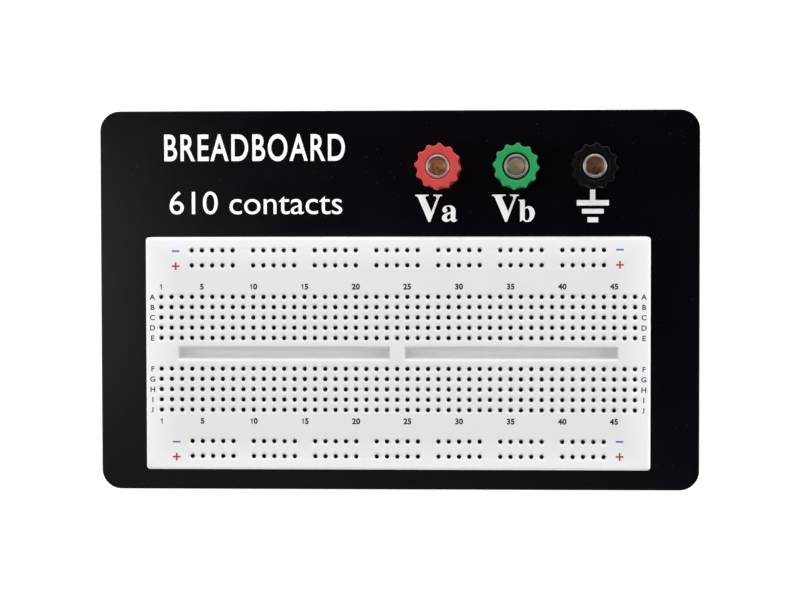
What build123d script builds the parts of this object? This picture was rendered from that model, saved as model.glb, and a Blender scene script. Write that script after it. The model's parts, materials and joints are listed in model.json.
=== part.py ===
from build123d import *

import os
from math import radians, sin, tan

# Solderless breadboard on a metal base plate, with three 4 mm binding posts.
# Millimetres. Origin: on the table, under the middle of the base plate.
# +X runs along the plate's long side, +Y towards the binding posts, +Z up.

# ---------------------------------------------------------------- driving dimensions
# contact grid
pitch = 2.54  # between neighbouring contact holes
columns = 47  # numbered columns, left to right
rows = 5  # holes in one terminal clip: rows A to E, or F to J
centre_gap = 3 * pitch  # between rows E and F, the width of a chip's legs
rail_offset = 21.75  # board centre line to the inner power rail
rail_pitch = 3.72  # inner to outer power rail
rail_groups = 7  # groups of five holes along a rail
group_pitch = 6 * pitch  # five holes and a gap

# base plate
plate_length = 150.0
plate_width = 95.0
plate_thickness = 2.0
plate_corner = 5.0
plate_edge = 0.3  # rounding of its painted edges
front_margin = 6.0  # plate edge to the board, on the side away from the posts

# breadboard housing
body_length = 124.5
body_width = 57.5
body_height = 8.5
body_corner = 0.8
body_edge = 0.8
deck = 1.8  # top wall, between the pockets and the surface
hole_radius = 0.5
funnel_radius = 0.875
trough_depth = 3.0
trough_bevel = 0.6
trough_width = 3.7
trough_reach = 54.5  # middle of the board to the far end of a trough
bridge_width = 3.2  # solid part between the two troughs
tape_thickness = 0.8
tape_inset = 0.5

# contact clips
clip_sheet = 0.2  # metal thickness
clip_base = 1.4  # width of the spine
clip_height = 6.25
clip_pinch_height = 4.9
clip_pinch_gap = 0.14
clip_mouth = 1.24  # width over the flared finger tips
clip_end_gap = 0.2  # clip end to pocket wall
clip_side_gap = 0.2
finger_slot = 0.6

# binding posts
post_first_x = 10.2
post_spacing = 19.05
post_y = 33.2
post_colours = ("red", "green", "black")
panel_hole = 3.5  # radius of the plate's hole
boss_radius = 3.4
collar_radius = 5.3
collar_height = 3.2
flange_radius = 4.0
flange_height = 1.3
stud_top = 16.3  # above the plate
stud_bottom = -9.0
barrel_thread = 3.0  # M6 x 0.75 outside radius
barrel_pitch = 0.75
barrel_groove = 0.4
barrel_thread_bottom = 6.4
shank_thread = 2.0  # M4 x 0.7 outside radius
shank_pitch = 0.7
shank_groove = 0.35
neck_radius = 2.6
socket_radius = 2.0  # for a 4 mm plug
socket_depth = 7.0
socket_chamfer = 0.22
wire_hole_radius = 1.0
wire_hole_height = 4.7
clearance = 0.1
insert_radius = 4.0
insert_height = 7.0
running_gap = 0.05
knob_tip = 5.65
knob_valley = 5.0
knob_lobes = 12
knob_valley_arc = 1.3
knob_tip_round = 0.42
knob_first_tip = 25.0  # degrees
knob_mouth = 3.35
knob_edge = 0.2
washer_radius = 5.0
washer_height = 1.5
washer_boss = 0.5
nut_across_flats = 7.0
nut_height = 2.2
lug_radius = 3.75
lug_thickness = 0.4
lug_reach = 11.0
lug_tail = 3.0
lug_eye = 0.8

# feet
foot_height = 10.0
foot_top_radius = 6.0
foot_bottom_radius = 5.2
foot_round = 0.7
foot_inset = 10.0

# ---------------------------------------------------------------- levels and places
plate_bottom = foot_height
plate_top = plate_bottom + plate_thickness
body_bottom = plate_top + tape_thickness
body_top = body_bottom + body_height
board_y = -plate_width / 2 + front_margin + body_width / 2
pocket_depth = body_height - deck
terminal_y = centre_gap / 2 + (rows - 1) / 2 * pitch  # middle of a terminal clip
rail_ys = {
    "upper_negative": rail_offset + rail_pitch,
    "upper_positive": rail_offset,
    "lower_negative": -rail_offset,
    "lower_positive": -rail_offset - rail_pitch,
}
rail_span = (rail_groups * 6 - 2) * pitch  # first to last hole of a rail
terminal_pocket = (clip_base + 2 * clip_side_gap, rows * pitch - 0.2)
terminal_clip_length = terminal_pocket[1] - 2 * clip_end_gap
rail_pocket = (rail_span + 3.2, clip_base + 2 * clip_side_gap + 0.2)
rail_clip_length = rail_pocket[0] - 4 * clip_end_gap
posts = {
    colour: (post_first_x + i * post_spacing, post_y)
    for i, colour in enumerate(post_colours)
}
feet = {
    "rear_left": (-1, 1),
    "rear_right": (1, 1),
    "front_left": (-1, -1),
    "front_right": (1, -1),
}

made = {}  # node name: part


def keep(builder, name):
    """Labels a finished piece and notes it for writing."""
    builder.part.label = name
    made[name] = builder.part


def upright(x, y, z):
    """A vertical sketch plane facing -Y: local X is +X and local Y is +Z."""
    return Plane(origin=(x, y, z), x_dir=(1, 0, 0), z_dir=(0, -1, 0))


def sideways(x, y, z):
    """A vertical sketch plane facing +X: local X is +Y and local Y is +Z."""
    return Plane(origin=(x, y, z), x_dir=(0, 1, 0), z_dir=(1, 0, 0))


def thread_points(radius, groove, lead, low, high):
    """Outline of a thread drawn as rings, going up from low to high at a shaft's outside."""
    points = []
    turns = int((high - low) / lead)
    for turn in range(turns):
        foot = low + turn * lead
        points += [(radius, foot), (radius - groove, foot + lead / 2)]
    points.append((radius, low + turns * lead))
    return points


# ---------------------------------------------------------------- base plate and feet
def base_plate():
    with BuildPart() as plate:
        with BuildSketch(Plane.XY.offset(plate_bottom)):
            RectangleRounded(plate_length, plate_width, plate_corner)
            with Locations(*posts.values()):
                Circle(panel_hole, mode=Mode.SUBTRACT)
        extrude(amount=plate_thickness)
        rims = [face.outer_wire().edges() for face in plate.faces().filter_by(Axis.Z)]
        fillet(rims[0] + rims[1], plate_edge)
    keep(plate, "base_plate")


def rubber_foot(name, place):
    x = place[0] * (plate_length / 2 - foot_inset)
    y = place[1] * (plate_width / 2 - foot_inset)
    with BuildPart() as foot:
        with BuildSketch(upright(x, y, 0)):
            Polygon(
                (0, 0),
                (foot_bottom_radius, 0),
                (foot_top_radius, foot_height),
                (0, foot_height),
                align=None,
            )
        revolve(axis=Axis((x, y, 0), (0, 0, 1)))
        fillet(foot.edges().group_by(Axis.Z)[0], foot_round)
    keep(foot, "rubber_foot_" + name)


# ---------------------------------------------------------------- breadboard
def breadboard_body():
    top = Plane((0, board_y, body_top))
    bottom = Plane((0, board_y, body_bottom))
    with BuildPart() as body:
        with BuildSketch(bottom):
            RectangleRounded(body_length, body_width, body_corner)
        extrude(amount=body_height)
        fillet(body.faces().sort_by(Axis.Z)[-1].edges(), body_edge)
        # a bevelled trough each side of the bridge in the middle
        trough_length = trough_reach - bridge_width / 2
        trough_places = [(s * (trough_reach + bridge_width / 2) / 2, 0) for s in (-1, 1)]
        with BuildSketch(top):
            with Locations(*trough_places):
                Rectangle(trough_length, trough_width)
        extrude(amount=-trough_bevel, taper=45, mode=Mode.SUBTRACT)
        with BuildSketch(top):
            with Locations(*trough_places):
                Rectangle(trough_length - 2 * trough_bevel, trough_width - 2 * trough_bevel)
        extrude(amount=-trough_depth, mode=Mode.SUBTRACT)
        # pockets under the deck, one for each clip
        with BuildSketch(bottom):
            with Locations((0, terminal_y), (0, -terminal_y)):
                with GridLocations(pitch, pitch, columns, 1):
                    Rectangle(*terminal_pocket)
            with Locations(*[(0, y) for y in rail_ys.values()]):
                Rectangle(*rail_pocket)
        extrude(amount=pocket_depth, mode=Mode.SUBTRACT)
        # funnelled contact holes
        with Locations(top):
            with Locations((0, terminal_y), (0, -terminal_y)):
                with GridLocations(pitch, pitch, columns, rows):
                    CounterSinkHole(hole_radius, funnel_radius, depth=deck + clip_sheet, counter_sink_angle=90)
            with Locations(*[(0, y) for y in rail_ys.values()]):
                with GridLocations(group_pitch, pitch, rail_groups, 1):
                    with GridLocations(pitch, pitch, 5, 1):
                        CounterSinkHole(hole_radius, funnel_radius, depth=deck + clip_sheet, counter_sink_angle=90)
    keep(body, "breadboard_body")


def adhesive_tape():
    with BuildPart() as tape:
        with BuildSketch(Plane((0, board_y, plate_top))):
            RectangleRounded(body_length - 2 * tape_inset, body_width - 2 * tape_inset, body_corner)
        extrude(amount=tape_thickness)
    keep(tape, "adhesive_tape")


def clip_outline():
    """Cross-section of a spring clip: a spine with a finger rising from each side.

    The fingers lean in to a pinch and flare out again at the mouth."""
    half = clip_base / 2
    pinch = clip_pinch_gap / 2
    mouth = clip_mouth / 2
    right = [
        (half, 0),
        (half, clip_height / 4),
        (pinch + clip_sheet, clip_pinch_height),
        (mouth, clip_height),
        (mouth - clip_sheet, clip_height),
        (pinch, clip_pinch_height),
        (half - clip_sheet, clip_height / 4),
        (half - clip_sheet, clip_sheet),
    ]
    left = [(-x, z) for x, z in reversed(right)]
    return right + left


def terminal_clips(name, y):
    """One clip of five contacts for each column, as separate solids."""
    end = board_y + y + terminal_clip_length / 2
    with BuildPart() as clips:
        with BuildSketch(upright(0, end, body_bottom)):
            with GridLocations(pitch, pitch, columns, 1):
                Polygon(*clip_outline(), align=None)
        extrude(amount=terminal_clip_length)
        with BuildSketch(Plane((0, board_y + y, body_bottom + 2 * clip_sheet))):
            with GridLocations(pitch, pitch, 1, rows - 1):
                Rectangle(columns * pitch, finger_slot)
        extrude(amount=clip_height, mode=Mode.SUBTRACT)
    keep(clips, name)


def bus_clip(name, y):
    """One long strip of contacts under a power rail, with fingers only under its holes."""
    with BuildPart() as clip:
        with BuildSketch(sideways(-rail_clip_length / 2, board_y + y, body_bottom)):
            Polygon(*clip_outline(), align=None)
        extrude(amount=rail_clip_length)
        with BuildSketch(Plane((0, board_y + y, body_bottom + 2 * clip_sheet))):
            with GridLocations(group_pitch, pitch, rail_groups, 1):
                with GridLocations(pitch, pitch, 4, 1):
                    Rectangle(finger_slot, 2 * clip_base)
            with GridLocations(group_pitch, pitch, rail_groups - 1, 1):
                Rectangle(pitch + finger_slot, 2 * clip_base)
        extrude(amount=clip_height, mode=Mode.SUBTRACT)
    keep(clip, "bus_clip_" + name)


# ---------------------------------------------------------------- binding posts
def collar(colour, x, y):
    """Insulating collar on the plate, with a boss in the plate's hole and a seat for the stud's flange."""
    with BuildPart() as part:
        with BuildSketch(upright(x, y, plate_top)):
            Polygon(
                (shank_thread + clearance, -plate_thickness + washer_boss + 0.2),
                (boss_radius, -plate_thickness + washer_boss + 0.2),
                (boss_radius, 0),
                (collar_radius, 0),
                (collar_radius, collar_height),
                (flange_radius + clearance, collar_height),
                (flange_radius + clearance, collar_height - flange_height),
                (shank_thread + clearance, collar_height - flange_height),
                align=None,
            )
        revolve(axis=Axis((x, y, 0), (0, 0, 1)))
        rim = part.edges().filter_by(GeomType.CIRCLE).group_by(Axis.Z)[-1].sort_by(SortBy.RADIUS)[-1]
        fillet(rim, 0.4)
    keep(part, colour + "_collar")


def stud(colour, x, y):
    """Metal body of the post: threaded shank, flange, neck with the wire hole, threaded barrel with the socket."""
    barrel = thread_points(
        barrel_thread, barrel_groove, barrel_pitch, barrel_thread_bottom, stud_top - 0.5
    )
    shank = thread_points(
        shank_thread, shank_groove, shank_pitch, stud_bottom + 0.4, -plate_thickness
    )
    with BuildPart() as part:
        with BuildSketch(upright(x, y, plate_top)):
            Polygon(
                (0, stud_bottom),
                (shank_thread - shank_groove, stud_bottom),
                *shank,
                (shank_thread, collar_height - flange_height),
                (flange_radius, collar_height - flange_height),
                (flange_radius, collar_height),
                (neck_radius, collar_height),
                (neck_radius, barrel_thread_bottom - barrel_groove),
                *barrel,
                (barrel_thread - 0.25, stud_top),
                (0, stud_top),
                align=None,
            )
        revolve(axis=Axis((x, y, 0), (0, 0, 1)))
        with Locations((x, y, plate_top + stud_top)):
            CounterSinkHole(
                socket_radius,
                socket_radius + socket_chamfer,
                depth=socket_depth,
                counter_sink_angle=90,
            )
        with BuildSketch(upright(x, y, plate_top + wire_hole_height)):
            Circle(wire_hole_radius)
        extrude(amount=flange_radius, both=True, mode=Mode.SUBTRACT)
    keep(part, colour + "_stud")


def knob_insert(colour, x, y):
    """Metal sleeve that runs on the barrel and carries the knob. Its own thread isn't cut."""
    low = collar_height + clearance
    with BuildPart() as part:
        with BuildSketch(Plane((x, y, plate_top + low))):
            Circle(insert_radius)
            Circle(barrel_thread + running_gap, mode=Mode.SUBTRACT)
        extrude(amount=insert_height)
        chamfer(part.edges().filter_by(GeomType.CIRCLE), 0.15)
    keep(part, colour + "_knob_insert")


def knob(colour, x, y):
    """Moulded grip with a scalloped outline, open at the top for the plug."""
    low = collar_height + clearance
    seat = insert_height + running_gap
    base = Plane((x, y, plate_top + low))
    with BuildPart() as part:
        with BuildSketch(base) as outline:
            Circle(knob_tip)
            with PolarLocations(
                knob_valley + knob_valley_arc, knob_lobes, knob_first_tip + 180 / knob_lobes
            ):
                Circle(knob_valley_arc, mode=Mode.SUBTRACT)
            fillet(outline.vertices(), knob_tip_round)
        extrude(amount=stud_top - low)
        chamfer(part.faces().sort_by(Axis.Z)[-1].edges(), knob_edge)
        with BuildSketch(base):
            Circle(insert_radius + running_gap)
        extrude(amount=seat, mode=Mode.SUBTRACT)
        with BuildSketch(base):
            Circle(knob_mouth)
        extrude(amount=stud_top, mode=Mode.SUBTRACT)
    keep(part, colour + "_knob")


def washer(colour, x, y):
    """Insulating washer under the plate, with a short boss in the plate's hole."""
    with BuildPart() as part:
        with BuildSketch(Plane((x, y, plate_bottom - washer_height))):
            Circle(washer_radius)
        extrude(amount=washer_height)
        with BuildSketch(Plane((x, y, plate_bottom))):
            Circle(boss_radius)
        extrude(amount=washer_boss)
        with Locations((x, y, plate_bottom + washer_boss)):
            Hole(shank_thread + clearance)
    keep(part, colour + "_washer")


def hex_nut(name, x, y, top):
    """M4 nut whose thread isn't cut, with its corners turned off."""
    corner = nut_across_flats / 2 / sin(radians(60))
    bevel = (corner - nut_across_flats / 2) * tan(radians(30))
    with BuildPart() as part:
        with BuildSketch(Plane((x, y, top - nut_height))):
            RegularPolygon(nut_across_flats / 2, 6, major_radius=False)
            Circle(shank_thread + running_gap, mode=Mode.SUBTRACT)
        extrude(amount=nut_height)
        with BuildSketch(upright(x, y, top - nut_height)):
            Polygon(
                (0, 0),
                (nut_across_flats / 2, 0),
                (corner, bevel),
                (corner, nut_height - bevel),
                (nut_across_flats / 2, nut_height),
                (0, nut_height),
                align=None,
            )
        revolve(axis=Axis((x, y, 0), (0, 0, 1)), mode=Mode.INTERSECT)
    keep(part, name)


def solder_lug(colour, x, y, top):
    """Tinned ring with a tail that has an eye for the wire."""
    with BuildPart() as part:
        with BuildSketch(Plane((x, y, top - lug_thickness))) as outline:
            Circle(lug_radius)
            with Locations((0, -lug_reach / 2)):
                Rectangle(lug_tail, lug_reach)
            fillet(outline.vertices().group_by(Axis.Y)[0], 1.0)
            Circle(shank_thread + clearance, mode=Mode.SUBTRACT)
            with Locations((0, lug_tail / 2 - lug_reach)):
                Circle(lug_eye, mode=Mode.SUBTRACT)
        extrude(amount=lug_thickness)
    keep(part, colour + "_solder_lug")


def binding_post(colour, x, y):
    nut_top = plate_bottom - washer_height
    lug_top = nut_top - nut_height
    collar(colour, x, y)
    stud(colour, x, y)
    knob_insert(colour, x, y)
    knob(colour, x, y)
    washer(colour, x, y)
    hex_nut(colour + "_nut", x, y, nut_top)
    solder_lug(colour, x, y, lug_top)
    hex_nut(colour + "_lock_nut", x, y, lug_top - lug_thickness)


# ---------------------------------------------------------------- assembly
base_plate()
for foot_name, foot_place in feet.items():
    rubber_foot(foot_name, foot_place)
breadboard_body()
adhesive_tape()
terminal_clips("terminal_clips_upper", terminal_y)
terminal_clips("terminal_clips_lower", -terminal_y)
for rail_name, rail_y in rail_ys.items():
    bus_clip(rail_name, rail_y)
for post_colour, (post_x, post_y_place) in posts.items():
    binding_post(post_colour, post_x, post_y_place)

os.makedirs("parts", exist_ok=True)
for node, part in made.items():
    export_step(part, f"parts/{node}.step")
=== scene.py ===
import json
from math import acos, atan2, cos, pi, radians, sin, sqrt, tau

import bmesh
import bpy
from mathutils import Matrix, Vector
from mathutils.geometry import delaunay_2d_cdt


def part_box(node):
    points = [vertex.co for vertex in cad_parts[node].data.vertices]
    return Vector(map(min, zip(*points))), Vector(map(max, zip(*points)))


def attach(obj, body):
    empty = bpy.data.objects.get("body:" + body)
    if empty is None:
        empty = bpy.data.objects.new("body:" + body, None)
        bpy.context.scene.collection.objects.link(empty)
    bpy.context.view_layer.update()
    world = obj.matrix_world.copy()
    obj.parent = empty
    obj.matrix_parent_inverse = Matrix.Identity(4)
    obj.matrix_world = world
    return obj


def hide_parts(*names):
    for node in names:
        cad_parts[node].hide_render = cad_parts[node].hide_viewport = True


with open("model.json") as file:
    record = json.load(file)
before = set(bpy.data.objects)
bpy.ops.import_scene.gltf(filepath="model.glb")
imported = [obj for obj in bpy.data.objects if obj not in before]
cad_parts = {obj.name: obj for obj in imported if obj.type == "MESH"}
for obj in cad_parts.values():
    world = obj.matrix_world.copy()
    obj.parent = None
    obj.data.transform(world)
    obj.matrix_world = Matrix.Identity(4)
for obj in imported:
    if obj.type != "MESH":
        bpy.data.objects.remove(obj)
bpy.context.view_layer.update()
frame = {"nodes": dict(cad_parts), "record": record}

# The looks of a solderless breadboard on its base plate. Shapes are worked out in millimetres,
# in the CAD model's own frame, and turned into metres as each mesh is made.
MM = 0.001
BASE = "base"

# ---------------------------------------------------------------- driving dimensions
# contact grid
PITCH = 2.54
COLUMNS = 47
TERMINAL_ROWS = 5
TERMINAL_Y = 3.5 * PITCH  # board's centre line to the middle row of five
BUS_Y = {
    "upper_negative": 25.47,
    "upper_positive": 21.75,
    "lower_negative": -21.75,
    "lower_positive": -25.47,
}
BUS_GROUPS = 7
BUS_GROUP = 5  # holes in a group
BUS_GROUP_PITCH = 6 * PITCH
TERMINAL_POCKET = (1.8, 12.5)
BUS_POCKET = (104.8, 2.0)
DECK = 1.8
# radius and depth of each step down a contact hole
FUNNEL = [(0.905, 0.0), (0.865, 0.015), (0.53, 0.335), (0.505, 0.38), (0.505, DECK)]
HOLE_SIDES = 24

# housing
BODY_CORNER = 0.8
BODY_EDGE = 0.8
BODY_FOOT = 0.15
TROUGH_WIDTH = 3.7
TROUGH_REACH = 54.5
BRIDGE = 3.2
TROUGH_CORNER = 0.8
# inset and depth of each step down a trough's wall
TROUGH_WALL = [
    (-0.06, 0.0), (0.02, 0.04), (0.52, 0.53), (0.56, 0.64), (0.66, 1.9), (0.8, 2.4), (1.02, 2.72),
    (1.32, 2.93), (1.65, 3.0),
]
TROUGH_END = 0.27  # the end walls are upright below this inset

# base plate
PLATE_CORNER = 5.0
PLATE_EDGE = 0.3
POST_HOLE = 3.5

# binding posts
COLOURS = ("red", "green", "black")
LOBES = 12
LOBE_TIP = 5.65
LOBE_ROUND = 0.42
VALLEY_CENTRE = 6.3
VALLEY_ARC = 1.3
FIRST_TIP = 25.0
KNOB_EDGE = 0.22
KNOB_MOUTH = {"red": 3.08, "green": 3.35, "black": 3.35}
KNOB_BEVEL = 3.6  # radius where the slope to the mouth begins
KNOB_COUNTERBORE = 4.05
KNOB_SEAT = 7.05  # above the knob's lower face
BARREL = 3.0
BARREL_PITCH = 0.75
BARREL_GROOVE = 0.4
SHANK = 2.0
SHANK_PITCH = 0.7
SHANK_GROOVE = 0.35
FLANGE = 4.0
NECK = 2.6
FLANGE_BOTTOM = 1.9  # this and the next two are heights above the plate
FLANGE_TOP = 3.2
NECK_TOP = 6.3
SOCKET = 2.0
SOCKET_DEPTH = 7.0
WIRE_HOLE = 1.0
WIRE_HOLE_HEIGHT = 4.7  # above the plate

QUADRANTS = ((1, 1), (-1, 1), (-1, -1), (1, -1))


def corners(node):
    """Lowest and highest corner of a CAD node, in millimetres."""
    low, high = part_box(node)
    return low / MM, high / MM


def middle(node):
    """Where a node stands: the x and y of its middle."""
    low, high = corners(node)
    return (low.x + high.x) / 2, (low.y + high.y) / 2


# ---------------------------------------------------------------- outlines
def disc(radius, sides, centre=(0, 0), turn=0.0):
    """Points round a circle."""
    angles = [turn + tau * i / sides for i in range(sides)]
    return [(centre[0] + radius * cos(a), centre[1] + radius * sin(a)) for a in angles]


def rounded_box(length, width, radius, steps, centre=(0, 0)):
    """Points round a rectangle with round corners."""
    points = []
    for corner, (sx, sy) in enumerate(QUADRANTS):
        x = centre[0] + sx * (length / 2 - radius)
        y = centre[1] + sy * (width / 2 - radius)
        for step in range(steps + 1):
            a = (corner + step / steps) * pi / 2
            points.append((x + radius * cos(a), y + radius * sin(a)))
    return points


def quarter_round(radius, steps):
    """Inset and drop of each step of a rounded edge, from the top face round to the side."""
    angles = [pi / 2 * i / steps for i in range(steps + 1)]
    return [(radius * (1 - sin(a)), radius * (1 - cos(a))) for a in angles]


# ---------------------------------------------------------------- mesh making
class Shell:
    """Gathers the points and faces of one closed surface."""

    def __init__(self):
        self.points = []
        self.faces = []

    def ring(self, outline, height):
        """Adds a closed ring of points at one height and returns their numbers."""
        first = len(self.points)
        self.points += [(x, y, height) for x, y in outline]
        return range(first, len(self.points))

    def band(self, one, other):
        """Joins two rings that have as many points."""
        for i in range(len(one)):
            self.faces.append((one[i - 1], one[i], other[i], other[i - 1]))

    def stack(self, rings):
        """Joins each ring to the next."""
        for one, other in zip(rings, rings[1:]):
            self.band(one, other)

    def tip(self, ring, x, y, height):
        """Closes a ring with a fan round one point."""
        self.points.append((x, y, height))
        for i in range(len(ring)):
            self.faces.append((ring[i - 1], ring[i], len(self.points) - 1))

    def cap(self, outer, holes=()):
        """Fills the flat region inside the outer ring and outside the holes, which are all convex."""
        rings = [outer, *holes]
        numbers = [n for ring in rings for n in ring]
        owner = [r for r, ring in enumerate(rings) for _ in ring]
        edges = []
        for ring in rings:
            first = len(edges)
            edges += [(first + i, first + (i + 1) % len(ring)) for i in range(len(ring))]
        flat = [Vector(self.points[n][:2]) for n in numbers]
        triangles, sources = delaunay_2d_cdt(flat, edges, [], 0, 1e-6)[2:4]
        for triangle in triangles:
            trio = [sources[n][0] for n in triangle]
            met = {owner[n] for n in trio}
            if met == {0} or len(met) > 1:
                self.faces.append([numbers[n] for n in trio])

    def mesh(self, name):
        """The surface as a mesh in metres, with its faces turned outwards."""
        mesh = bpy.data.meshes.new(name)
        mesh.from_pydata([Vector(p) * MM for p in self.points], [], self.faces)
        tidy(mesh)
        return mesh


def tidy(mesh, weld=0.0):
    """Turns a mesh's faces outwards, and first welds points closer than weld, in metres."""
    work = bmesh.new()
    work.from_mesh(mesh)
    if weld:
        bmesh.ops.remove_doubles(work, verts=work.verts, dist=weld)
    bmesh.ops.recalc_face_normals(work, faces=work.faces)
    work.to_mesh(mesh)
    work.free()


def piece(name, mesh, look, body, crease=40):
    """Makes an object of a mesh, smooth but for edges sharper than crease, riding on a body."""
    mesh.shade_smooth()
    mesh.set_sharp_from_angle(angle=radians(crease))
    mesh.materials.clear()
    mesh.materials.append(look)
    made = bpy.data.objects.new(name, mesh)
    bpy.context.scene.collection.objects.link(made)
    flat = made.modifiers.new("flat faces stay flat", "WEIGHTED_NORMAL")
    flat.keep_sharp = True
    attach(made, body)
    return made


# ---------------------------------------------------------------- materials
class Look:
    """A material being made: its shader, and shorthands for the nodes that feed it."""

    def __init__(self, name, **sockets):
        self.material = bpy.data.materials.new(name)
        self.material.use_nodes = True
        self.tree = self.material.node_tree
        self.shader = self.tree.nodes["Principled BSDF"]
        for socket, value in sockets.items():
            self.shader.inputs[socket.replace("_", " ")].default_value = value
        self.place = self.node("ShaderNodeTexCoord").outputs["Object"]
        self.relief = None

    def node(self, kind, **settings):
        made = self.tree.nodes.new(kind)
        for key, value in settings.items():
            setattr(made, key, value)
        return made

    def link(self, source, target):
        self.tree.links.new(source, target)

    def noise(self, grain, detail=2.0, stretch=(1, 1, 1)):
        """Noise whose grains are about this many millimetres across."""
        scaled = self.node("ShaderNodeMapping")
        scaled.inputs["Scale"].default_value = stretch
        self.link(self.place, scaled.inputs["Vector"])
        made = self.node("ShaderNodeTexNoise")
        made.inputs["Scale"].default_value = 1 / (grain * MM)
        made.inputs["Detail"].default_value = detail
        self.link(scaled.outputs["Vector"], made.inputs["Vector"])
        return made.outputs["Fac"]

    def cells(self, size):
        """Distance to the nearest of many scattered points, about size millimetres apart."""
        made = self.node("ShaderNodeTexVoronoi")
        made.inputs["Scale"].default_value = 1 / (size * MM)
        self.link(self.place, made.inputs["Vector"])
        return made.outputs["Distance"]

    def rings(self, pitch, centre):
        """Rings about an upright axis through centre, all in millimetres."""
        moved = self.node("ShaderNodeMapping")
        moved.inputs["Location"].default_value = (-centre[0] * MM, -centre[1] * MM, 0)
        self.link(self.place, moved.inputs["Vector"])
        made = self.node("ShaderNodeTexWave", wave_type="RINGS", rings_direction="Z")
        made.inputs["Scale"].default_value = pi / (10 * pitch * MM)
        made.inputs["Distortion"].default_value = 0.6
        self.link(moved.outputs["Vector"], made.inputs["Vector"])
        return made.outputs["Fac"]

    def maths(self, operation, *values):
        """The result of a sum on pattern outputs and numbers."""
        made = self.node("ShaderNodeMath", operation=operation)
        for socket, value in zip(made.inputs, values):
            if isinstance(value, bpy.types.NodeSocket):
                self.link(value, socket)
            else:
                socket.default_value = value
        return made.outputs["Value"]

    def border(self, node, width):
        """1 at the sides of a node's box and 0 from this many millimetres in."""
        low, high = corners(node)
        parts = self.node("ShaderNodeSeparateXYZ")
        self.link(self.place, parts.inputs["Vector"])
        reach = []
        for axis, a, b in (("X", low.x, high.x), ("Y", low.y, high.y)):
            off = self.maths("ABSOLUTE", self.maths("SUBTRACT", parts.outputs[axis], (a + b) / 2 * MM))
            reach.append(self.maths("SUBTRACT", off, ((b - a) / 2 - width) * MM))
        return self.spread(self.maths("MAXIMUM", *reach), 0, 1, 0, width * MM)

    def spread(self, source, low, high, start=0.3, end=0.7):
        """Maps a pattern from start..end to low..high."""
        made = self.node("ShaderNodeMapRange")
        for socket, value in zip(("From Min", "From Max", "To Min", "To Max"), (start, end, low, high)):
            made.inputs[socket].default_value = value
        self.link(source, made.inputs["Value"])
        return made.outputs["Result"]

    def blend(self, factor, one, other):
        """Mixes two colours, or a colour and a pattern's output, by a pattern."""
        made = self.node("ShaderNodeMix", data_type="RGBA")
        self.link(factor, made.inputs["Factor"])
        for socket, colour in (("A", one), ("B", other)):
            target = [i for i in made.inputs if i.name == socket and i.type == "RGBA"][0]
            if isinstance(colour, bpy.types.NodeSocket):
                self.link(colour, target)
            else:
                target.default_value = (*colour, 1)
        return [o for o in made.outputs if o.type == "RGBA"][0]

    def colour(self, source):
        self.link(source, self.shader.inputs["Base Color"])

    def roughness(self, source):
        self.link(source, self.shader.inputs["Roughness"])

    def bump(self, source, height, strength=1.0):
        """Raises the surface by a pattern, up to this height in millimetres."""
        made = self.node("ShaderNodeBump")
        made.inputs["Distance"].default_value = height * MM
        made.inputs["Strength"].default_value = strength
        self.link(source, made.inputs["Height"])
        if self.relief:
            self.link(self.relief, made.inputs["Normal"])
        self.relief = made.outputs["Normal"]
        self.link(self.relief, self.shader.inputs["Normal"])


def shade(colour, factor):
    """A colour made lighter or darker."""
    return tuple(min(1.0, c * factor) for c in colour)


def powder_coat():
    """Matt black stoved paint with a fine orange peel and a few specks of dust."""
    look = Look("powder_coat", Specular_IOR_Level=0.25)
    specks = look.spread(look.cells(2.2), 1.0, 0.0, 0.035, 0.06)
    paint = look.blend(look.noise(25), (0.0012, 0.0007, 0.0020), (0.0018, 0.0010, 0.0030))
    look.colour(look.blend(specks, paint, (0.03, 0.03, 0.034)))
    look.roughness(look.spread(look.noise(12, 3), 0.20, 0.24))
    look.bump(look.noise(0.6, 3), 0.004)
    return look.material


def moulded_white():
    """Satin white ABS with a fine spark-eroded grain, a little paler towards its edges."""
    look = Look("moulded_white", Specular_IOR_Level=0.45)
    white = (0.775, 0.768, 0.775)
    middle_tone = look.blend(look.noise(9, 3), shade(white, 0.985), shade(white, 1.01))
    look.colour(look.blend(look.border("breadboard_body", 8), middle_tone, shade(white, 1.15)))
    look.roughness(look.spread(look.noise(1.2), 0.42, 0.52))
    look.bump(look.noise(0.22, 3), 0.004)
    return look.material


def moulded_plastic(name, colour, gloss=0.25):
    """Satin coloured plastic with a fine grain, and lighter scuffs here and there."""
    look = Look(name, Specular_IOR_Level=gloss)
    scuffs = look.spread(look.noise(0.5, 4), 0.0, 0.35, 0.66, 0.74)
    base = look.blend(look.noise(3, 3), shade(colour, 0.92), shade(colour, 1.06))
    worn = tuple(1.1 * c + 0.03 for c in colour)
    look.colour(look.blend(scuffs, base, worn))
    look.roughness(look.spread(look.noise(0.8, 3), 0.34, 0.44))
    look.bump(look.noise(0.3, 3), 0.01)
    return look.material


def turned_metal(name, colour, dull, roughness=0.3, radial=0.5):
    """Metal with the fine rings that a lathe leaves."""
    look = Look(name, Metallic=1.0, Anisotropic=radial, Anisotropic_Rotation=0.25)
    look.colour(look.blend(look.noise(0.8, 3), colour, dull))
    look.roughness(look.spread(look.noise(0.3, 3, (1, 1, 6)), roughness - 0.06, roughness + 0.08))
    look.bump(look.noise(0.12, 2, (0.2, 0.2, 3)), 0.003)
    tangent = look.node("ShaderNodeTangent", direction_type="RADIAL", axis="Z")
    look.link(tangent.outputs["Tangent"], look.shader.inputs["Tangent"])
    return look.material


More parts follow.
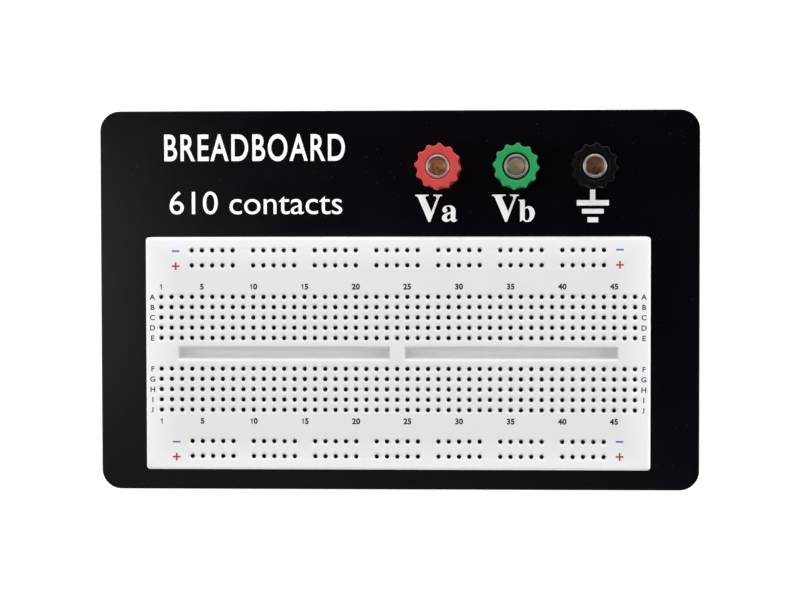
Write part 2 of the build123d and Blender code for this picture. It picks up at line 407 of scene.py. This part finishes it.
def drilled_brass(name, centre, colour, dull):
    """Bare brass at the bottom and on the wall of a socket, with the drill's rings."""
    look = Look(name, Metallic=1.0, Anisotropic=0.85, Anisotropic_Rotation=0.25, Roughness=0.5)
    rings = look.rings(0.42, centre)
    fine = look.rings(0.17, centre)
    look.colour(look.blend(look.spread(rings, 0, 1, 0.2, 0.8), colour, dull))
    look.roughness(look.spread(fine, 0.42, 0.56))
    look.bump(fine, 0.012)
    tangent = look.node("ShaderNodeTangent", direction_type="RADIAL", axis="Z")
    look.link(tangent.outputs["Tangent"], look.shader.inputs["Tangent"])
    return look.material


def plated_metal(name, colour, dull, roughness=0.28):
    """Plated sheet or pressed metal, with fine scratches."""
    look = Look(name, Metallic=1.0)
    look.colour(look.blend(look.noise(1.2, 4), colour, dull))
    look.roughness(look.spread(look.noise(0.6, 4), roughness - 0.05, roughness + 0.12))
    look.bump(look.noise(0.15, 3, (1, 8, 1)), 0.002)
    return look.material


def foot_rubber():
    """Matt black rubber, a little dusty."""
    look = Look("foot_rubber", Specular_IOR_Level=0.3)
    look.colour(look.blend(look.noise(1.5, 4), (0.012, 0.012, 0.013), (0.03, 0.03, 0.031)))
    look.roughness(look.spread(look.noise(0.7, 3), 0.68, 0.85))
    look.bump(look.noise(0.25, 3), 0.02)
    return look.material


def foam():
    """Closed-cell foam tape, seen at its cut edge."""
    look = Look("foam", Specular_IOR_Level=0.2, Roughness=0.9)
    look.colour(look.blend(look.cells(0.15), (0.62, 0.61, 0.56), (0.78, 0.77, 0.72)))
    look.bump(look.cells(0.15), 0.03)
    return look.material


def ink(name, colour, glow=0.0):
    """Screen-printed ink: matt, with a faintly uneven film."""
    look = Look(name, Specular_IOR_Level=0.3, Emission_Strength=glow)
    look.shader.inputs["Emission Color"].default_value = (1, 1, 1, 1)
    look.colour(look.blend(look.noise(0.5, 3), shade(colour, 0.94), shade(colour, 1.03)))
    look.roughness(look.spread(look.noise(0.4), 0.5, 0.62))
    look.bump(look.noise(0.2, 2), 0.002)
    return look.material


# one look for each material slot of the CAD model
LOOKS = {
    "painted_plate": powder_coat(),
    "white_plastic": moulded_white(),
    "foam_tape": foam(),
    "clip_metal": plated_metal("clip_metal", (0.68, 0.65, 0.58), (0.50, 0.47, 0.41)),
    "foot_rubber": foot_rubber(),
    "red_plastic": moulded_plastic("red_plastic", (0.56, 0.060, 0.058)),
    "green_plastic": moulded_plastic("green_plastic", (0.020, 0.31, 0.092)),
    "black_plastic": moulded_plastic("black_plastic", (0.0020, 0.0017, 0.0024), 0.12),
    "insert_metal": turned_metal("insert_metal", (0.70, 0.54, 0.28), (0.58, 0.43, 0.21)),
    "washer_plastic": moulded_plastic("washer_plastic", (0.015, 0.015, 0.016)),
    "nut_metal": plated_metal("nut_metal", (0.66, 0.64, 0.60), (0.55, 0.53, 0.48)),
    "tinned_metal": plated_metal("tinned_metal", (0.72, 0.72, 0.70), (0.60, 0.60, 0.58), 0.35),
}
LEGEND_GREY = ink("legend_grey", (0.014, 0.014, 0.018))
LEGEND_RED = ink("legend_red", (0.38, 0.050, 0.058))
LEGEND_BLUE = ink("legend_blue", (0.07, 0.175, 0.40))
PRINT_WHITE = ink("print_white", (0.90, 0.90, 0.91), 0.16)
CONTACT_SHADE = ink("contact_shade", (0.035, 0.034, 0.032))
BORE_EDGE = turned_metal("bore_edge", (0.10, 0.085, 0.07), (0.06, 0.05, 0.04), 0.35, 0.3)
# the three studs differ in tone: the metal outside, fresh and dull, and the brass in the socket
STUD_TONES = {
    "red": ((0.66, 0.38, 0.33), (0.56, 0.31, 0.27)),
    "green": ((0.36, 0.36, 0.31), (0.31, 0.31, 0.26)),
    "black": ((0.48, 0.42, 0.39), (0.41, 0.35, 0.32)),
}
BORE_TONES = {
    "red": ((0.98, 0.74, 0.57), (0.82, 0.52, 0.36)),
    "green": ((0.97, 0.92, 0.80), (0.79, 0.72, 0.57)),
    "black": ((0.74, 0.58, 0.41), (0.50, 0.36, 0.24)),
}
STUD_METAL = {c: turned_metal(c + "_stud_metal", *STUD_TONES[c], 0.45, 0.4) for c in COLOURS}
BORE_BRASS = {
    c: drilled_brass(c + "_bore_brass", middle(c + "_stud"), *BORE_TONES[c]) for c in COLOURS
}
LOOKS["stud_metal"] = STUD_METAL["black"]  # the CAD's own studs are replaced, so any of them will do

for part in frame["record"]["subparts"]:
    node = frame["nodes"][part["node"]]
    node.data.materials.clear()
    node.data.materials.append(LOOKS[part["material_slot"]])


# ---------------------------------------------------------------- base plate
def base_plate():
    """Sheet metal with round corners, rounded edges and a hole for each post."""
    low, high = corners("base_plate")
    length, width = high.x - low.x, high.y - low.y

    def outline(inset):
        return rounded_box(length - 2 * inset, width - 2 * inset, PLATE_CORNER - inset, 16)

    shell = Shell()
    edge = quarter_round(PLATE_EDGE, 4)
    rings = [shell.ring(outline(inset), low.z + drop) for inset, drop in edge]
    rings += [shell.ring(outline(inset), high.z - drop) for inset, drop in reversed(edge)]
    shell.stack(rings)
    upper, lower = [], []
    for colour in COLOURS:
        place = middle(colour + "_stud")
        upper.append(shell.ring(disc(POST_HOLE, 48, place), high.z))
        lower.append(shell.ring(disc(POST_HOLE, 48, place), low.z))
        shell.band(upper[-1], lower[-1])
    shell.cap(rings[-1], upper)
    shell.cap(rings[0], lower)
    made = piece("plate", shell.mesh("plate"), LOOKS["painted_plate"], BASE)
    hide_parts("base_plate")


base_plate()


# ---------------------------------------------------------------- breadboard housing
def evenly(count, step):
    """Places along a line, centred on 0."""
    return [(i - (count - 1) / 2) * step for i in range(count)]


def housing():
    """The white moulding: rounded top edges, troughs, funnelled holes, and a pocket for each clip."""
    low, high = corners("breadboard_body")
    centre_x, centre_y = middle("breadboard_body")
    length, width = high.x - low.x, high.y - low.y
    top, bottom = high.z, low.z

    def outline(inset):
        radius = max(BODY_CORNER - inset, 0.06)
        return rounded_box(length - 2 * inset, width - 2 * inset, radius, 6, (centre_x, centre_y))

    shell = Shell()
    rings = [shell.ring(outline(inset), bottom + drop) for inset, drop in quarter_round(BODY_FOOT, 2)]
    edge = reversed(quarter_round(BODY_EDGE, 7))
    rings += [shell.ring(outline(inset), top - drop) for inset, drop in edge]
    shell.stack(rings)

    rims = []
    for side in (-1, 1):
        place = (centre_x + side * (TROUGH_REACH + BRIDGE / 2) / 2, centre_y)
        steps = []
        for inset, depth in TROUGH_WALL:
            long = TROUGH_REACH - BRIDGE / 2 - 2 * min(inset, TROUGH_END)
            wide = TROUGH_WIDTH - 2 * inset
            radius = max(TROUGH_CORNER - inset, 0.1)
            steps.append(shell.ring(rounded_box(long, wide, radius, 4, place), top - depth))
        shell.stack(steps)
        shell.cap(steps[-1])
        rims.append(steps[0])

    pockets = []

    def pocket(x, y, size, holes):
        """A pocket open at the bottom, under a row of contact holes."""
        feet = []
        for place in holes:
            steps = [shell.ring(disc(r, HOLE_SIDES, place), top - depth) for r, depth in FUNNEL]
            shell.stack(steps)
            rims.append(steps[0])
            feet.append(steps[-1])
        walls = [(x + sx * size[0] / 2, y + sy * size[1] / 2) for sx, sy in QUADRANTS]
        ceiling = shell.ring(walls, top - DECK)
        opening = shell.ring(walls, bottom)
        shell.band(ceiling, opening)
        shell.cap(ceiling, feet)
        pockets.append(opening)

    for row_y in (TERMINAL_Y, -TERMINAL_Y):
        y = centre_y + row_y
        for x in evenly(COLUMNS, PITCH):
            pocket(x, y, TERMINAL_POCKET, [(x, y + dy) for dy in evenly(TERMINAL_ROWS, PITCH)])
    for row_y in BUS_Y.values():
        y = centre_y + row_y
        groups = evenly(BUS_GROUPS, BUS_GROUP_PITCH)
        holes = [(g + dx, y) for g in groups for dx in evenly(BUS_GROUP, PITCH)]
        pocket(centre_x, y, BUS_POCKET, holes)

    shell.cap(rings[-1], rims)
    shell.cap(rings[0], pockets)
    made = piece("housing", shell.mesh("housing"), LOOKS["white_plastic"], BASE)
    made.data.materials.append(CONTACT_SHADE)
    # the faces of holes and pockets below the funnels, but not those of the troughs or the sides
    reach_x = TROUGH_REACH + 5
    reach_y = BUS_Y["upper_negative"] + 2
    for face in made.data.polygons:
        spot = face.center / MM
        inside = abs(spot.x - centre_x) < reach_x and 3 < abs(spot.y - centre_y) < reach_y
        if inside and bottom + 0.1 < spot.z < top - FUNNEL[2][1] - 0.01:
            face.material_index = 1
    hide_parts("breadboard_body")


housing()


# ---------------------------------------------------------------- binding posts
def lobed(inset, centre, sides):
    """Points round a knob: lobes with rounded corners and a hollow between each two."""
    tip, hollow, rounding = LOBE_TIP - inset, VALLEY_ARC + inset, LOBE_ROUND - inset
    sector = tau / LOBES
    # the corner's own centre: how far out, and how far round from the middle of the hollow
    out = tip - rounding
    turn = acos((out**2 + VALLEY_CENTRE**2 - (hollow + rounding) ** 2) / (2 * out * VALLEY_CENTRE))
    share = hollow / (hollow + rounding)
    meet = atan2(share * out * sin(turn), VALLEY_CENTRE + share * (out * cos(turn) - VALLEY_CENTRE))
    points = []
    for i in range(sides):
        angle = tau * i / sides
        off = abs((angle - radians(FIRST_TIP)) % sector - sector / 2)
        radius = tip
        if off < meet:
            radius = VALLEY_CENTRE * cos(off) - sqrt(hollow**2 - (VALLEY_CENTRE * sin(off)) ** 2)
        elif off < turn:
            radius = out * cos(off - turn) + sqrt(rounding**2 - (out * sin(off - turn)) ** 2)
        points.append((centre[0] + radius * cos(angle), centre[1] + radius * sin(angle)))
    return points


def knob(colour):
    """Moulded grip, open at the top for the plug and below for the metal insert."""
    node = colour + "_knob"
    low, high = corners(node)
    centre = middle(colour + "_stud")
    sides = LOBES * 24
    shell = Shell()
    edge = quarter_round(KNOB_EDGE, 4)
    rings = [shell.ring(lobed(inset, centre, sides), low.z + drop) for inset, drop in edge]
    rings += [shell.ring(lobed(inset, centre, sides), high.z - drop) for inset, drop in reversed(edge)]
    mouth = KNOB_MOUTH[colour]
    for radius, height in [
        (KNOB_BEVEL + 0.1, high.z),
        (KNOB_BEVEL, high.z - 0.02),
        ((mouth + KNOB_BEVEL) / 2, high.z - 0.07),
        (mouth + 0.05, high.z - 0.14),
        (mouth, high.z - 0.24),
        (mouth, low.z + KNOB_SEAT),
        (KNOB_COUNTERBORE, low.z + KNOB_SEAT),
        (KNOB_COUNTERBORE, low.z + 0.12),
        (KNOB_COUNTERBORE + 0.12, low.z),
    ]:
        rings.append(shell.ring(disc(radius, sides, centre), height))
    shell.stack([*rings, rings[0]])
    body = colour + "_grip"
    plastic = colour + "_plastic"
    made = piece(body, shell.mesh(node), LOOKS[plastic], body)
    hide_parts(node)


def plain(*steps):
    """Steps up a smooth shaft, from pairs of radius and height."""
    return [(radius, height, 0, 1) for radius, height in steps]


def thread(low, high, radius, groove, lead, fade=0.6):
    """Steps up a threaded shaft: radius, height, groove depth and lead.

    The groove fades out at both ends.
    """
    count = round((high - low) / (lead / 8))
    steps = []
    for i in range(count + 1):
        height = low + (high - low) * i / count
        depth = groove * min(1, (height - low) / fade, (high - height) / fade)
        steps.append((radius, height, depth, lead))
    return steps


def stud(colour):
    """Threaded metal body of a post, with its socket, its cross hole and its turned faces."""
    node = colour + "_stud"
    low, high = corners(node)
    x, y = middle(node)
    plate_top = corners("base_plate")[1].z
    floor = high.z - SOCKET_DEPTH
    flange_bottom = plate_top + FLANGE_BOTTOM
    flange_top = plate_top + FLANGE_TOP
    neck_top = plate_top + NECK_TOP
    sides = 72
    profile = [
        *plain((SHANK - 0.45, low.z)),
        *thread(low.z + 0.3, flange_bottom - 0.3, SHANK, SHANK_GROOVE, SHANK_PITCH),
        *plain(
            (SHANK, flange_bottom),
            (FLANGE - 0.1, flange_bottom),
            (FLANGE, flange_bottom + 0.1),
            (FLANGE, flange_top - 0.15),
            (FLANGE - 0.15, flange_top),
            (NECK + 0.1, flange_top),
            (NECK, flange_top + 0.1),
            (NECK, neck_top - 0.25),
        ),
        *thread(neck_top, high.z - 0.42, BARREL, BARREL_GROOVE, BARREL_PITCH),
        *plain(
            (BARREL - 0.08, high.z - 0.24),
            (BARREL - 0.19, high.z - 0.07),
            (BARREL - 0.30, high.z),
            (SOCKET + 0.34, high.z),
            (SOCKET + 0.3, high.z - 0.02),
            (SOCKET + 0.12, high.z - 0.2),
            (SOCKET, high.z - 0.3),
            (SOCKET, floor + 0.06),
            (SOCKET - 0.06, floor),
            (1.2, floor - 0.10),
            (0.35, floor - 0.17),
            (0.25, floor - 0.22),
        ),
    ]
    shell = Shell()
    rings = []
    for radius, height, depth, lead in profile:
        outline = []
        for i in range(sides):
            phase = (height / lead - i / sides) % 1
            r = radius - depth * (1 - abs(2 * phase - 1))
            outline.append((x + r * cos(tau * i / sides), y + r * sin(tau * i / sides)))
        rings.append(shell.ring(outline, height))
    shell.stack(rings)
    shell.tip(rings[0], x, y, low.z)
    shell.tip(rings[-1], x, y, floor - 0.42)
    drilled = bore_across(shell.mesh(node), x, y, plate_top + WIRE_HOLE_HEIGHT)
    made = piece(colour + "_post", drilled, STUD_METAL[colour], BASE, crease=50)
    drilled.materials.append(BORE_BRASS[colour])
    drilled.materials.append(BORE_EDGE)
    for face in drilled.polygons:
        away = sqrt((face.center.x / MM - x) ** 2 + (face.center.y / MM - y) ** 2)
        if away < SOCKET + 0.01 and face.center.z / MM > floor - 1:
            face.material_index = 1
        elif away < SOCKET + 0.31 and face.center.z / MM > floor:
            face.material_index = 2
    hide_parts(node)


def evaluated(made):
    """The mesh of an object with its modifiers applied, or of a curve once filled."""
    bpy.context.view_layer.update()
    graph = bpy.context.evaluated_depsgraph_get()
    return bpy.data.meshes.new_from_object(made.evaluated_get(graph))


def bore_across(mesh, x, y, height):
    """Drills the wire hole through a stud's neck, along Y."""
    drill = Shell()
    rings = [drill.ring(disc(WIRE_HOLE, 32), end) for end in (-FLANGE, FLANGE)]
    drill.stack(rings)
    drill.cap(rings[0])
    drill.cap(rings[1])
    tool_mesh = drill.mesh("wire_drill")
    place = Matrix.Translation(Vector((x, y, height)) * MM)
    tool_mesh.transform(place @ Matrix.Rotation(pi / 2, 4, "X"))
    tool = bpy.data.objects.new("wire_drill", tool_mesh)
    work = bpy.data.objects.new("wire_bored", mesh)
    for each in (tool, work):
        bpy.context.scene.collection.objects.link(each)
    cut = work.modifiers.new("wire hole", "BOOLEAN")
    cut.operation = "DIFFERENCE"
    cut.solver = "EXACT"
    cut.object = tool
    cut_mesh = evaluated(work)
    for each in (tool, work):
        bpy.data.objects.remove(each)
    return cut_mesh


for post_colour in COLOURS:
    knob(post_colour)
    stud(post_colour)


# ---------------------------------------------------------------- printing
INK_FILM = 0.02
INK_SINK = 0.01  # how far the ink's underside lies in the surface
FONT_CAP = 0.682  # height of a capital in the built-in font at size 1
FIGURE_STEP = 0.78  # from one figure to the next, as a share of their height


class Printing:
    """Collects flat marks of one ink into one mesh."""

    def __init__(self, name, look, surface):
        self.name, self.look, self.surface = name, look, surface
        self.work = bmesh.new()

    def add(self, curve, scale, x, y, width=None, height=None):
        """Adds a filled curve, scaled, with its own origin at x, y.

        A width or a height stretches it to fit.
        """
        curve.extrude = 0.5
        made = bpy.data.objects.new("mark", curve)
        bpy.context.scene.collection.objects.link(made)
        mesh = evaluated(made)
        bpy.data.objects.remove(made)
        across = scale
        if width:
            xs = [v.co.x for v in mesh.vertices]
            across = width / (max(xs) - min(xs))
        if height:
            ys = [v.co.y for v in mesh.vertices]
            scale = height / (max(ys) - min(ys))
            y -= min(ys) * scale
        thick = INK_FILM + INK_SINK
        level = self.surface + (INK_FILM - INK_SINK) / 2
        mesh.transform(
            Matrix.Translation(Vector((x, y, level)) * MM)
            @ Matrix.Diagonal((across * MM, scale * MM, thick * MM, 1))
        )
        tidy(mesh, 1e-8)
        self.work.from_mesh(mesh)
        bpy.data.meshes.remove(mesh)

    def text(self, words, cap, x, y, width=None, height=None, align="CENTER", weight=0.0, spacing=1.0):
        """Adds words in the built-in font, whose baseline has its middle or left end at x, y."""
        curve = bpy.data.curves.new(words, "FONT")
        curve.body = words
        curve.align_x = align
        curve.offset = weight
        curve.space_character = spacing
        curve.resolution_u = 6
        self.add(curve, cap / FONT_CAP, x, y, width, height)

    def outline(self, contours, scale, x, y):
        """Adds a mark from closed outlines of (x, y) corners and (x, y, 1) smooth points."""
        curve = bpy.data.curves.new("outline", "CURVE")
        curve.dimensions = "2D"
        curve.fill_mode = "BOTH"
        curve.resolution_u = 8
        for contour in contours:
            spline = curve.splines.new("BEZIER")
            spline.bezier_points.add(len(contour) - 1)
            spline.use_cyclic_u = True
            for point, where in zip(spline.bezier_points, contour):
                point.co = (where[0], where[1], 0)
                kind = "AUTO" if len(where) == 3 else "VECTOR"
                point.handle_left_type = point.handle_right_type = kind
        self.add(curve, scale, x, y)

    def number(self, value, cap, x, y):
        """Adds a number whose baseline is centred on x, y.

        The built-in font's 1 is a plain bar, so that figure is drawn.
        """
        figures = str(value)
        for figure, step in zip(figures, evenly(len(figures), FIGURE_STEP * cap)):
            place = x + step
            if figure == "1":
                self.outline(FIGURE_ONE, cap, place, y)
            else:
                self.text(figure, cap, place, y, weight=0.042)

    def bar(self, length, height, x, y):
        """Adds a rectangle centred on x, y."""
        half, up = length / 2, height / 2
        self.outline([[(-half, -up), (half, -up), (half, up), (-half, up)]], 1.0, x, y)

    def build(self):
        """Makes one piece of all the marks added so far."""
        mesh = bpy.data.meshes.new(self.name)
        self.work.to_mesh(mesh)
        self.work.free()
        piece(self.name, mesh, self.look, BASE, crease=30)


# Letters and a figure drawn on a height of 1. A third number marks a smooth stretch.
FIGURE_ONE = [[
    (-0.02, 0.0), (0.17, 0.0), (0.17, 1.0), (0.045, 1.0), (-0.05, 0.88, 1), (-0.21, 0.78),
    (-0.21, 0.6), (-0.02, 0.71),
]]
LETTER_V = [[
    (0.0, 1.0), (0.0, 0.957), (0.065, 0.935, 1), (0.105, 0.88), (0.478, 0.0), (0.545, 0.0),
    (0.865, 0.87), (0.91, 0.935, 1), (0.985, 0.957), (0.985, 1.0), (0.66, 1.0), (0.66, 0.957),
    (0.755, 0.935, 1), (0.785, 0.87), (0.587, 0.37), (0.37, 0.87), (0.375, 0.925, 1),
    (0.425, 0.957), (0.49, 0.957), (0.49, 1.0),
]]
LETTER_A = [
    [
        (0.02, 0.735, 1), (0.115, 0.908, 1), (0.39, 1.0, 1), (0.667, 0.943, 1), (0.805, 0.76, 1),
        (0.816, 0.45, 1), (0.816, 0.207, 1), (0.845, 0.135, 1), (0.915, 0.165), (0.915, 0.11),
        (0.828, 0.034, 1), (0.69, 0.0, 1), (0.586, 0.040, 1), (0.529, 0.126), (0.39, 0.034, 1),
        (0.23, 0.0, 1), (0.05, 0.09, 1), (-0.005, 0.241, 1), (0.056, 0.4, 1), (0.253, 0.529, 1),
        (0.529, 0.605), (0.529, 0.759, 1), (0.471, 0.897, 1), (0.356, 0.931, 1), (0.253, 0.86, 1),
        (0.315, 0.74, 1), (0.285, 0.625, 1), (0.172, 0.575, 1), (0.056, 0.625, 1),
    ],
    [
        (0.529, 0.525), (0.39, 0.437, 1), (0.30, 0.322, 1), (0.31, 0.207, 1), (0.402, 0.155, 1),
        (0.529, 0.243),
    ],
]
LETTER_B = [
    [
        (0.0, 1.0), (0.0, 0.965), (0.062, 0.942, 1), (0.085, 0.88), (0.085, 0.0), (0.211, 0.092),
        (0.303, 0.018, 1), (0.42, -0.01, 1), (0.613, 0.075, 1), (0.746, 0.359, 1),
        (0.669, 0.613, 1), (0.5, 0.715, 1), (0.373, 0.683, 1), (0.298, 0.61), (0.298, 1.0),
    ],
    [
        (0.298, 0.565), (0.387, 0.625, 1), (0.475, 0.555, 1), (0.515, 0.345, 1), (0.475, 0.13, 1),
        (0.395, 0.06, 1), (0.298, 0.12),
    ],
]


def plate_print():
    """White print on the plate: a plain title, and the name of each post's voltage."""
    white = Printing("plate_print", PRINT_WHITE, corners("base_plate")[1].z)
    white.text("BREADBOARD", 6.4, -59.2, 35.1, 45.4, align="LEFT", weight=0.014, spacing=1.14)
    white.text("610 contacts", 5.6, -57.9, 21.7, 43.4, align="LEFT")
    baseline = 19.65
    white.outline(LETTER_V, 6.8, 4.2, baseline)
    white.outline(LETTER_A, 4.12, 10.85, baseline)
    white.outline(LETTER_V, 6.8, 23.35, baseline)
    white.outline(LETTER_B, 5.5, 29.85, baseline)
    earth_x = middle("black_stud")[0] + 0.1
    white.bar(1.3, 2.7, earth_x - 0.05, 26.3)
    white.bar(7.95, 1.33, earth_x, 24.35)
    white.bar(5.4, 1.17, earth_x, 22.27)
    white.bar(2.65, 1.24, earth_x, 20.15)
    white.build()


def board_print():
    """Column numbers, row letters and polarity marks on the housing."""
    top = corners("breadboard_body")[1].z
    centre_y = middle("breadboard_body")[1]
    grey = Printing("legend_grey", LEGEND_GREY, top)
    red = Printing("legend_red", LEGEND_RED, top)
    blue = Printing("legend_blue", LEGEND_BLUE, top)
    cap = 1.3
    number_rows = (16.55, -16.7)
    letter_column = 60.6
    columns = evenly(COLUMNS, PITCH)
    for number in (1, *range(5, COLUMNS, 5)):
        for y in number_rows:
            grey.number(number, cap, columns[number - 1], centre_y + y - cap / 2)
    rows = evenly(TERMINAL_ROWS, PITCH)[::-1]
    for block_y, letters in ((TERMINAL_Y, "ABCDE"), (-TERMINAL_Y, "FGHIJ")):
        for letter, dy in zip(letters, rows):
            foot = centre_y + block_y + dy - cap / 2
            for x in (-letter_column, letter_column):
                grey.text(letter, cap, x, foot, height=cap, weight=0.02)
    for name, bus_y in BUS_Y.items():
        for x, y in ((-54.75, bus_y - 0.14), (54.7, bus_y + 0.12)):
            ink_used = blue if name.endswith("negative") else red
            ink_used.bar(1.9, 0.43, x, centre_y + y)
            if ink_used is red:
                for side in (-1, 1):
                    ink_used.bar(0.43, 0.74, x, centre_y + y + side * 0.585)
    for each in (grey, red, blue):
        each.build()


plate_print()
board_print()


# ---------------------------------------------------------------- floor, light and camera
def floor():
    """Seamless white paper, lit a little from behind."""
    look = Look("paper", Roughness=0.8, Specular_IOR_Level=0.1, Emission_Strength=0.6)
    look.shader.inputs["Emission Color"].default_value = (1, 1, 1, 1)
    look.colour(look.blend(look.noise(60, 2), (0.90, 0.90, 0.90), (0.92, 0.92, 0.92)))
    mesh = bpy.data.meshes.new("floor")
    half = 3.0
    corners = [(-half, -half, 0), (half, -half, 0), (half, half, 0), (-half, half, 0)]
    mesh.from_pydata(corners, [], [(0, 1, 2, 3)])
    mesh.materials.append(look.material)
    made = bpy.data.objects.new("floor", mesh)
    bpy.context.scene.collection.objects.link(made)


def surroundings():
    """Soft light all round: bright along the horizon, dark overhead."""
    world = bpy.data.worlds.new("studio")
    bpy.context.scene.world = world
    world.use_nodes = True
    nodes, links = world.node_tree.nodes, world.node_tree.links
    direction = nodes.new("ShaderNodeTexCoord")
    parts = nodes.new("ShaderNodeSeparateXYZ")
    ramp = nodes.new("ShaderNodeValToRGB")
    stops = ramp.color_ramp.elements
    while len(stops) < len(SKY):
        stops.new(0.5)
    for stop, (rise, strength) in zip(stops, SKY):
        stop.position = rise
        stop.color = (strength, strength, strength, 1)
    links.new(direction.outputs["Generated"], parts.inputs["Vector"])
    links.new(parts.outputs["Z"], ramp.inputs["Fac"])
    links.new(ramp.outputs["Color"], nodes["Background"].inputs["Strength"])
    nodes["Background"].inputs["Color"].default_value = (1, 1, 1, 1)


# sine of the height above the horizon, and how bright the surroundings are there
SKY = [(0.0, 0.8), (0.12, 0.5), (0.35, 0.28), (0.6, 0.14), (0.8, 0.01)]
LAMPS = {
    # name: place, size, both in metres, and power in watts
    "key_behind": ((0.0, 0.70, 0.62), (1.1, 0.4), 4.45),
    "low_behind": ((0.0, 0.85, 0.40), (1.2, 0.4), 2.75),
    "side_left": ((-0.75, 0.0, 0.65), (0.4, 0.9), 3.9),
    "sheen_left": ((-0.35, -0.02, 0.80), (0.16, 0.3), 0.30),
    "sheen_front": ((-0.03, -0.17, 0.80), (0.34, 0.08), 0.06),
    "side_right": ((0.90, 0.0, 0.40), (0.4, 1.0), 5.7),
    "fill_front": ((0.0, -0.70, 0.62), (1.1, 0.4), 1.0),
}
AIM = Vector((0, 0, 0.015))


def lamps():
    """Rectangular soft lights, all aimed at the middle of the plate."""
    for name, (place, size, power) in LAMPS.items():
        light = bpy.data.lights.new(name, "AREA")
        light.shape = "RECTANGLE"
        light.size, light.size_y = size
        light.energy = power
        lamp = bpy.data.objects.new(name, light)
        lamp.location = place
        lamp.rotation_euler = (AIM - Vector(place)).to_track_quat("-Z", "Y").to_euler()
        bpy.context.scene.collection.objects.link(lamp)


CAMERA_PLACE = Vector((26.9, 22.3, 589.5)) * MM
CAMERA_TARGET = Vector((0.74, 0.50, 21.3)) * MM
CAMERA_ROLL = radians(0.1)
CAMERA_LENS = 104.04


def camera():
    """A long lens that looks almost straight down, with the plate's long side level."""
    back = (CAMERA_PLACE - CAMERA_TARGET).normalized()
    right = Vector((0, 1, 0)).cross(back).normalized()
    level = Matrix((right, back.cross(right), back)).transposed()
    turn = level @ Matrix.Rotation(-CAMERA_ROLL, 3, "Z")
    data = bpy.data.cameras.new("camera")
    data.lens = CAMERA_LENS
    data.sensor_width = 36.0
    data.clip_start = 0.01
    made = bpy.data.objects.new("camera", data)
    made.matrix_world = Matrix.Translation(CAMERA_PLACE) @ turn.to_4x4()
    bpy.context.scene.collection.objects.link(made)
    bpy.context.scene.camera = made


floor()
surroundings()
lamps()
camera()
bpy.context.scene.view_settings.view_transform = "Standard"
